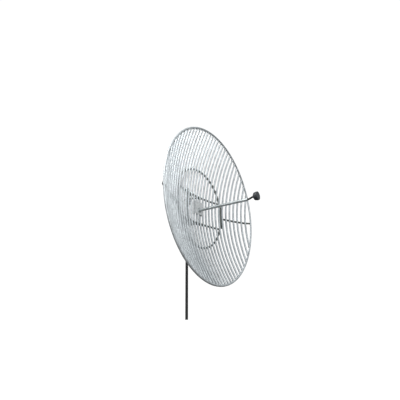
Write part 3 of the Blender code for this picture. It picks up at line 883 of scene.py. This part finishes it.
class Feed(Step, bpy.types.Operator):
    """Turn the flared feed housing with its seam, and the cover over its face"""

    bl_idname = "grid_antenna.feed"
    bl_label = "Feed Head"

    def execute(self, context):
        colours = context.scene.grid_antenna_colours
        low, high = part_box("feed_housing")
        radius, depth, back = (high.x - low.x) / 2, high.y - low.y, high.y
        centre = middle("feed_housing").z
        shell, collar = radius - 0.004, 0.018
        profile = [(0.0005, collar - 0.003), (0, collar - 0.002), (0.001, collar), (0.013, collar)]
        for step in range(1, 13):
            angle = math.radians(90 * step / 12)
            spread = shell - (shell - collar) * (1 - math.sin(angle)) ** 1.6
            profile.append((0.050 - 0.036 * math.cos(angle), spread))
        profile += [(0.0515, shell + 0.0015), (0.053, radius - 0.0005), (0.0545, radius), (0.064, radius)]
        profile += [(0.0645, radius - 0.0014), (0.0655, radius - 0.0014), (0.066, radius)]
        profile += [(depth - 0.005, radius), (depth - 0.0015, radius - 0.0015), (depth, radius - 0.005)]
        profile += [(depth, shell - 0.004), (depth - 0.004, shell - 0.0045)]
        housing = turned(profile, 56)
        place(housing, facing(Vector((0, back, centre)), FORWARD))
        finish = finish_named("Moulded black ABS", moulded_plastic, colours.feed, 0.9)
        hand_over(housing, "feed_shell", "feed_head", "feed_plastic", finish, "feed_housing")
        low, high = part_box("feed_cover")
        radius, depth = (high.x - low.x) / 2, high.y - low.y
        profile = [(0, radius), (0.0032, radius), (0.0045, radius - 0.0012), (0.0058, radius - 0.009)]
        profile += [(0.0054, radius - 0.011), (0.0054, radius - 0.013), (0.0062, radius - 0.015)]
        profile += [(depth - 0.0004, radius * 0.5), (depth, radius * 0.25), (depth, radius * 0.02)]
        cover = turned(profile, 56)
        place(cover, facing(Vector((0, high.y, centre)), FORWARD))
        finish = finish_named("Moulded grey ABS", moulded_plastic, shade(colours.feed, 1.5)[:3], 1.1)
        hand_over(cover, "feed_face", "feed_head", "feed_cover", finish, "feed_cover")
        return {"FINISHED"}


class Mast(Step, bpy.types.Operator):
    """Turn the mast with its welded foot, and the cap in its top"""

    bl_idname = "grid_antenna.mast"
    bl_label = "Mast"

    def execute(self, context):
        colours = context.scene.grid_antenna_colours
        low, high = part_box("mast")
        radius, length = (high.x - low.x) / 2, high.z - low.z
        profile = [(0, radius - 0.0015), (0.0015, radius), (0.0055, radius), (0.006, radius - 0.0006)]
        profile += [(0.0066, radius), (length * 0.5, radius), (length - 0.001, radius), (length, radius - 0.001)]
        mast = turned(profile, 48)
        finish = finish_named("Powder-coated steel", powder_coat, colours.mast)
        hand_over(mast, "mast_tube", "mast_body", "mast_paint", finish, "mast")
        low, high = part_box("mast_cap")
        radius = (high.x - low.x) / 2
        profile = [(0, radius - 0.0015), (0.0008, radius - 0.0003), (0.002, radius), (0.004, radius)]
        profile += [(0.0065, radius - 0.0018), (0.0085, radius - 0.0055), (0.0096, radius - 0.011), (0.01, 0.002)]
        cap = turned(profile, 48)
        place(cap, Matrix.Translation((0, 0, length + 0.0001)))
        finish = finish_named("Moulded black ABS", moulded_plastic, colours.feed, 0.9)
        hand_over(cap, "mast_plug", "mast_body", "cap_plastic", finish, "mast_cap")
        return {"FINISHED"}


class MountHead(Step, bpy.types.Operator):
    """Break the edges of the cast saddles, and thread, wash and nut the U-bolts and the two cross bolts"""

    bl_idname = "grid_antenna.mount_head"
    bl_label = "Mount Head"

    def execute(self, context):
        sizes = context.scene.grid_antenna_sizes
        colours = context.scene.grid_antenna_colours
        zinc = finish_named("Galvanised steel", galvanised_steel, colours.zinc, 7)
        iron = finish_named("Cast iron", cast_iron, colours.iron)
        for node in ("upper_saddle", "lower_saddle"):
            dress(node, iron, sizes.edge_round)
        nut = joined([hexagon(U_NUT, sizes.nut_height), washer(*U_WASHER)])
        stud = threaded_end(U_STUD, U_STUD_LENGTH, sizes.thread_pitch)
        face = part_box("upper_saddle")[0].y + SADDLE_DEPTH
        parts = []
        for node in ("upper_u_bolt_1", "upper_u_bolt_2", "lower_u_bolt_1", "lower_u_bolt_2"):
            dress(node, zinc)
            low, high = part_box(node)
            radius = (high.z - low.z) / 2
            for x in (low.x + radius, high.x - radius):
                base = Vector((x, face, (low.z + high.z) / 2))
                parts += [stamped(part, facing(base, FORWARD)) for part in (nut, stud)]
        for obj in (nut, stud):
            bpy.data.objects.remove(obj)
        hand_over(joined(parts), "u_bolt_nuts", "mount_head", "fastener", zinc)
        for node in ("pivot_bolt", "lock_bolt"):
            self.cross_bolt(node, sizes, zinc)
        return {"FINISHED"}

    def cross_bolt(self, node, sizes, zinc):
        """A hexagon bolt from +X, with its thread, washer and nut at the other end."""
        low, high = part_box(node)
        radius = (high.z - low.z) / 2 * SHANK_SHARE
        length = high.x - low.x
        centre = middle(node)
        head = hexagon(CROSS_NUT, sizes.nut_height)
        place(head, facing(Vector((high.x - sizes.nut_height, centre.y, centre.z)), X_AXIS))
        shank = turned([(0, radius), (length - sizes.nut_height - CROSS_THREAD, radius)], 20)
        place(shank, facing(Vector((high.x - sizes.nut_height, centre.y, centre.z)), -X_AXIS))
        end = threaded_end(radius, CROSS_THREAD, sizes.thread_pitch)
        place(end, facing(Vector((low.x + CROSS_THREAD, centre.y, centre.z)), -X_AXIS))
        clamped, thickness = "side_stay", STAY_TAB
        if node == "lock_bolt":
            clamped, thickness = "left_lower_strap", STRAP_THICKNESS
        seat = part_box(clamped)[1].x - thickness - GAP
        ring = washer(*CROSS_WASHER)
        place(ring, facing(Vector((seat, centre.y, centre.z)), -X_AXIS))
        nut = hexagon(CROSS_NUT, sizes.nut_height)
        place(nut, facing(Vector((seat - CROSS_WASHER[1], centre.y, centre.z)), -X_AXIS))
        whole = joined([head, shank, end, ring, nut])
        hand_over(whole, node + "_set", "mount_head", "fastener", zinc, node)


class Straps(Step, bpy.types.Operator):
    """Break the straps' edges, make the stay, and bolt their feet and the boom's flange down"""

    bl_idname = "grid_antenna.straps"
    bl_label = "Straps and Stay"

    def execute(self, context):
        colours = context.scene.grid_antenna_colours
        focal = context.scene.grid_antenna_sizes.focal_length
        zinc = finish_named("Galvanised steel", galvanised_steel, colours.zinc, 7)
        dull = finish_named("Weathered galvanised steel", galvanised_steel, colours.dull_zinc, 9)
        bolt = joined([hexagon(FRAME_BOLT, FRAME_BOLT_HEAD), washer(*FRAME_WASHER)])
        heads = []
        for node in ("left_upper_strap", "right_upper_strap", "left_lower_strap", "right_lower_strap"):
            dress(node, dull, 0.0008)
            low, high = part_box(node)
            side = -1 if low.x < 0 else 1
            outer = max(abs(low.x), abs(high.x))
            height = (low.z + high.z) / 2 - AXIS_HEIGHT
            for inset in (0.012, 0.038):
                x = side * (outer - inset)
                seat = surface_point(x, height, focal)
                seat.y += GRID_TUBE + 2 * CHORD_TUBE + STRAP_THICKNESS + 0.001
                heads.append(stamped(bolt, facing(seat, Vector((x / (2 * focal), 1, 0)).normalized())))
        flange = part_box("feed_boom")[1].y - FLANGE_THICKNESS
        for quarter in range(4):
            angle = math.radians(45 + 90 * quarter)
            spot = Vector((math.cos(angle), 0, math.sin(angle))) * FLANGE_BOLT_CIRCLE
            seat = Vector((spot.x, flange, middle("feed_boom").z + spot.z))
            heads.append(stamped(bolt, facing(seat, FORWARD) @ Matrix.Scale(FLANGE_BOLT_SCALE, 4)))
        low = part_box("side_stay")[0]
        seat = low + Vector((0.0085, STAY_TAB, STAY_FOOT.z))
        heads.append(stamped(bolt, facing(seat, Y_AXIS) @ Matrix.Scale(STAY_BOLT_SCALE, 4)))
        bpy.data.objects.remove(bolt)
        hand_over(joined(heads), "frame_bolts", "reflector", "fastener", zinc)
        hand_over(self.stay(low), "stay_bar", "reflector", "stay_metal", dull, "side_stay")
        return {"FINISHED"}

    def stay(self, low):
        """A round bar with an eye on the pivot bolt and a flat foot on the ring."""
        radius, eye_radius, tongue = STAY_BAR, 0.013, 0.026
        eye = Vector((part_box("side_stay")[1].x - STAY_TAB / 2, PIVOT.y, PIVOT.z))
        foot = low + STAY_FOOT
        end = foot + Vector((0, radius, 0))
        lean = Vector((0, end.y - eye.y, end.z - eye.z)).normalized()
        start = eye + tongue * lean
        span = end - start
        neck = radius * 1.3
        bar = turned(
            [(0, radius * 0.45), (neck * 0.6, radius * 0.85), (neck, radius), (span.length - neck, radius),
             (span.length - neck * 0.4, radius * 0.9), (span.length, radius * 0.5)],
            28,
        )
        place(bar, facing(start, span.normalized()))
        deselect()
        bpy.ops.mesh.primitive_cylinder_add(vertices=40, radius=eye_radius, depth=STAY_TAB)
        ring = bpy.context.object
        in_edit(ring, lambda face: 0 < len(face.vertices) < 5 and face.normal.y < 0)
        bpy.ops.transform.translate(value=(0, -tongue, 0))
        leave_edit()
        apply_bevel(ring, 0.0012, 2)
        across = X_AXIS.cross(-lean)
        turn = Matrix((across, -lean, X_AXIS)).transposed().to_4x4()
        place(ring, Matrix.Translation(eye) @ turn)
        deselect()
        bpy.ops.mesh.primitive_cube_add(
            size=1, location=foot + Vector((0, STAY_TAB / 2, 0)),
            scale=2 * STAY_FOOT + Vector((0, STAY_TAB, 0)),
        )
        pad = applied()
        apply_bevel(pad, 0.0018, 3)
        return joined([bar, ring, pad])


class Stage(Step, bpy.types.Operator):
    """Lay a pale floor, light the antenna softly from above, and set the camera low in front of it"""

    bl_idname = "grid_antenna.stage"
    bl_label = "Stage"

    def execute(self, context):
        scene = context.scene
        scene.view_settings.view_transform = "Standard"
        self.floor()
        self.sky(scene)
        self.lamps()
        self.camera(scene)
        return {"FINISHED"}

    def floor(self):
        """A wide pale disc well under the mast's foot, seen only by the camera."""
        deselect()
        bpy.ops.mesh.primitive_circle_add(vertices=96, radius=60, fill_type="NGON", location=(0, 0, -3.2))
        floor = bpy.context.object
        floor.name = "floor"
        material, tree, shader, spot = new_finish("Pale floor")
        mottle = add_node(tree, "ShaderNodeTexNoise", {"Scale": per_metre(900)}, {"Vector": spot})
        tone = add_node(
            tree, "ShaderNodeValToRGB", links={"Fac": mottle.outputs["Fac"]},
            stops=((0.0, to_linear("fafafa") + [1.0]), (1.0, to_linear("ffffff") + [1.0])),
        )
        tree.links.new(tone.outputs["Color"], shader.inputs["Base Color"])
        tree.links.new(tone.outputs["Color"], shader.inputs["Emission Color"])
        shader.inputs["Emission Strength"].default_value = 0.75
        shader.inputs["Roughness"].default_value = 0.9
        floor.data.materials.append(material)
        for ray in ("visible_diffuse", "visible_glossy", "visible_transmission"):
            setattr(floor, ray, False)

    def sky(self, scene):
        """White behind the antenna, and for its light a soft dome that is bright above and dim below."""
        world = bpy.data.worlds.new("Studio")
        world.use_nodes = True
        scene.world = world
        tree = world.node_tree
        tree.nodes.clear()
        spot = add_node(tree, "ShaderNodeTexCoord")
        parts = add_node(tree, "ShaderNodeSeparateXYZ", links={"Vector": spot.outputs["Generated"]})
        height = add_node(
            tree, "ShaderNodeMapRange", {"From Min": -0.5, "From Max": 0.8}, {"Value": parts.outputs["Z"]}
        )
        dome = add_node(
            tree, "ShaderNodeValToRGB", links={"Fac": height.outputs["Result"]},
            stops=((0.0, (0.09, 0.09, 0.09, 1)), (1.0, (0.85, 0.87, 0.88, 1))),
        )
        light = add_node(tree, "ShaderNodeBackground", {"Strength": 0.75}, {"Color": dome.outputs["Color"]})
        white = add_node(tree, "ShaderNodeBackground", {"Color": (1, 1, 1, 1), "Strength": 1.05})
        ray = add_node(tree, "ShaderNodeLightPath")
        both = add_node(tree, "ShaderNodeMixShader")
        tree.links.new(ray.outputs["Is Camera Ray"], both.inputs[0])
        tree.links.new(light.outputs["Background"], both.inputs[1])
        tree.links.new(white.outputs["Background"], both.inputs[2])
        add_node(tree, "ShaderNodeOutputWorld", links={"Surface": both.outputs["Shader"]})

    def lamps(self):
        for name, at, power, size in (
            ("key", (-5.2, 0.8, 6.2), 330, 3.5),
            ("fill", (-3.5, -5.5, 1.5), 170, 4.0),
            ("back", (4.0, 4.5, 4.5), 60, 3.0),
        ):
            deselect()
            bpy.ops.object.light_add(type="AREA", location=at)
            lamp = bpy.context.object
            lamp.name = name
            lamp.data.energy = power
            lamp.data.size = size
            aim = Vector((0, -0.4, AXIS_HEIGHT)) - lamp.location
            lamp.rotation_euler = aim.to_track_quat("-Z", "Y").to_euler()

    def camera(self, scene):
        """Low to the antenna's front left, looking up at it from a little over two dish widths away."""
        azimuth, elevation, roll = math.radians(-55.9), math.radians(-20.2), math.radians(-0.67)
        back = Vector(
            (
                math.sin(azimuth) * math.cos(elevation),
                -math.cos(azimuth) * math.cos(elevation),
                math.sin(elevation),
            )
        )
        level = Z_AXIS.cross(back).normalized()
        upright = back.cross(level)
        right = level * math.cos(roll) + upright * math.sin(roll)
        up = back.cross(right)
        outer = RIM_RADIUS + RIM_TUBE
        aim = Vector((0, RIM_Y, AXIS_HEIGHT)) + outer * (-0.1934 * right + 0.0551 * up)
        deselect()
        bpy.ops.object.camera_add()
        camera = bpy.context.object
        turn = Matrix((right, up, back)).transposed().to_4x4()
        camera.matrix_world = Matrix.Translation(aim + outer * 4.07 * back) @ turn
        camera.data.lens = 29.3
        camera.data.dof.use_dof = False
        scene.camera = camera


# --- Panel and registration ---------------------------------------------------------------------


STEPS = (GridTubes, Hoops, Stringers, Welds, Hub, Boom, Neck, Feed, Mast, MountHead, Straps, Stage)


class GridAntennaPanel(bpy.types.Panel):
    """The antenna's sizes, colours and steps"""

    bl_idname = "VIEW3D_PT_grid_antenna"
    bl_label = "Grid Antenna"
    bl_space_type = "VIEW_3D"
    bl_region_type = "UI"
    bl_category = "Grid Antenna"

    def draw(self, context):
        for group in (context.scene.grid_antenna_sizes, context.scene.grid_antenna_colours):
            box = self.layout.box()
            for name in group.__annotations__:
                box.prop(group, name)
        for step in STEPS:
            self.layout.operator(step.bl_idname)


CLASSES = (GridAntennaSizes, GridAntennaColours, *STEPS, GridAntennaPanel)


def register():
    for cls in CLASSES:
        bpy.utils.register_class(cls)
    bpy.types.Scene.grid_antenna_sizes = PointerProperty(type=GridAntennaSizes)
    bpy.types.Scene.grid_antenna_colours = PointerProperty(type=GridAntennaColours)


def unregister():
    del bpy.types.Scene.grid_antenna_colours
    del bpy.types.Scene.grid_antenna_sizes
    for cls in reversed(CLASSES):
        bpy.utils.unregister_class(cls)


def main():
    register()
    for step in STEPS:
        group, name = step.bl_idname.split(".")
        getattr(getattr(bpy.ops, group), name)()
    deselect()


if __name__ == "__main__":
    main()
